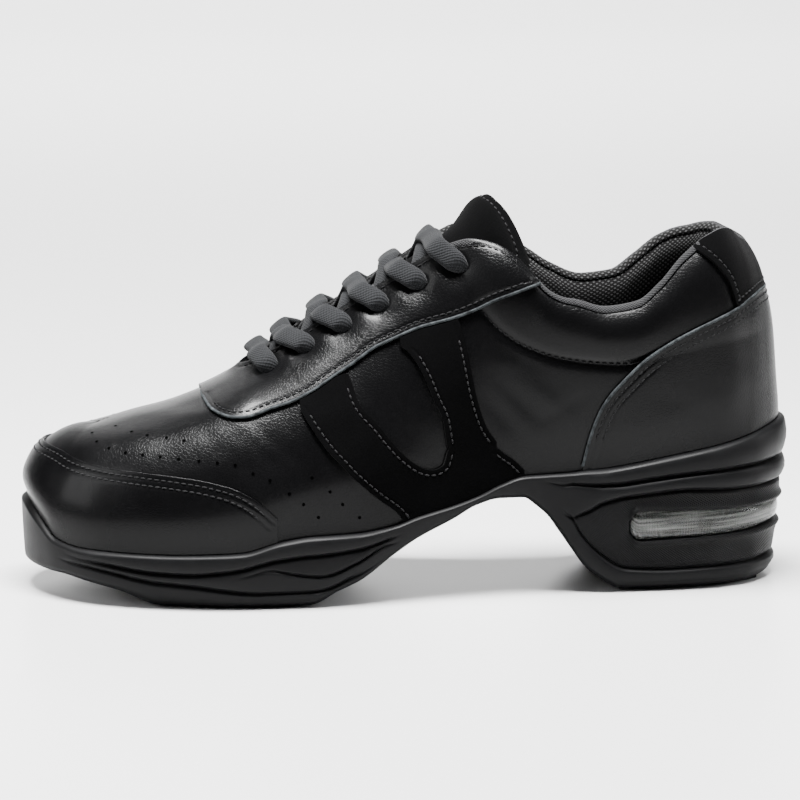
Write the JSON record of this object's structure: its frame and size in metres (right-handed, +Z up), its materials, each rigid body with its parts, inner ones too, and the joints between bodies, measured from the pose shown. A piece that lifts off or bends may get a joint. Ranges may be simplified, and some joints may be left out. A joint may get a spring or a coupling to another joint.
{
  "type": "dance sneaker",
  "caption": "Low split sole dance sneaker for the left foot: hollow leather upper with suede panels, laced throat, padded collar, arched moulded sole with a clear heel cushion.",
  "frame": {"origin": "on the floor, under the middle of the shoe's length and width", "axes": "+X from toe to heel, +Y to the inner side of the left foot, +Z up"},
  "size_m": [0.2646, 0.0944, 0.135],
  "materials": {
    "grain_leather": "black, fine grain, half gloss",
    "suede": "black, matt nap",
    "sole_rubber": "black, satin moulded",
    "clear_cushion": "clear, glossy",
    "lining_cloth": "black mesh",
    "lace_cloth": "black flat weave"
  },
  "bodies": {
    "root": {"upper": "grain_leather", "toe_cap": "grain_leather", "eyestay": "grain_leather", "counter": "grain_leather", "heel_tab": "suede", "saddle_lateral": "suede", "saddle_medial": "suede", "tongue": "grain_leather", "insole": "lining_cloth", "lace_bar_front": "lace_cloth", "lace_cross_1": "lace_cloth", "lace_cross_2": "lace_cloth", "lace_cross_3": "lace_cloth", "lace_cross_4": "lace_cloth", "lace_cross_5": "lace_cloth", "sole": "sole_rubber", "heel_cushion": "clear_cushion", "tread_forefoot": "sole_rubber", "tread_heel": "sole_rubber"}
  },
  "joints": []
}
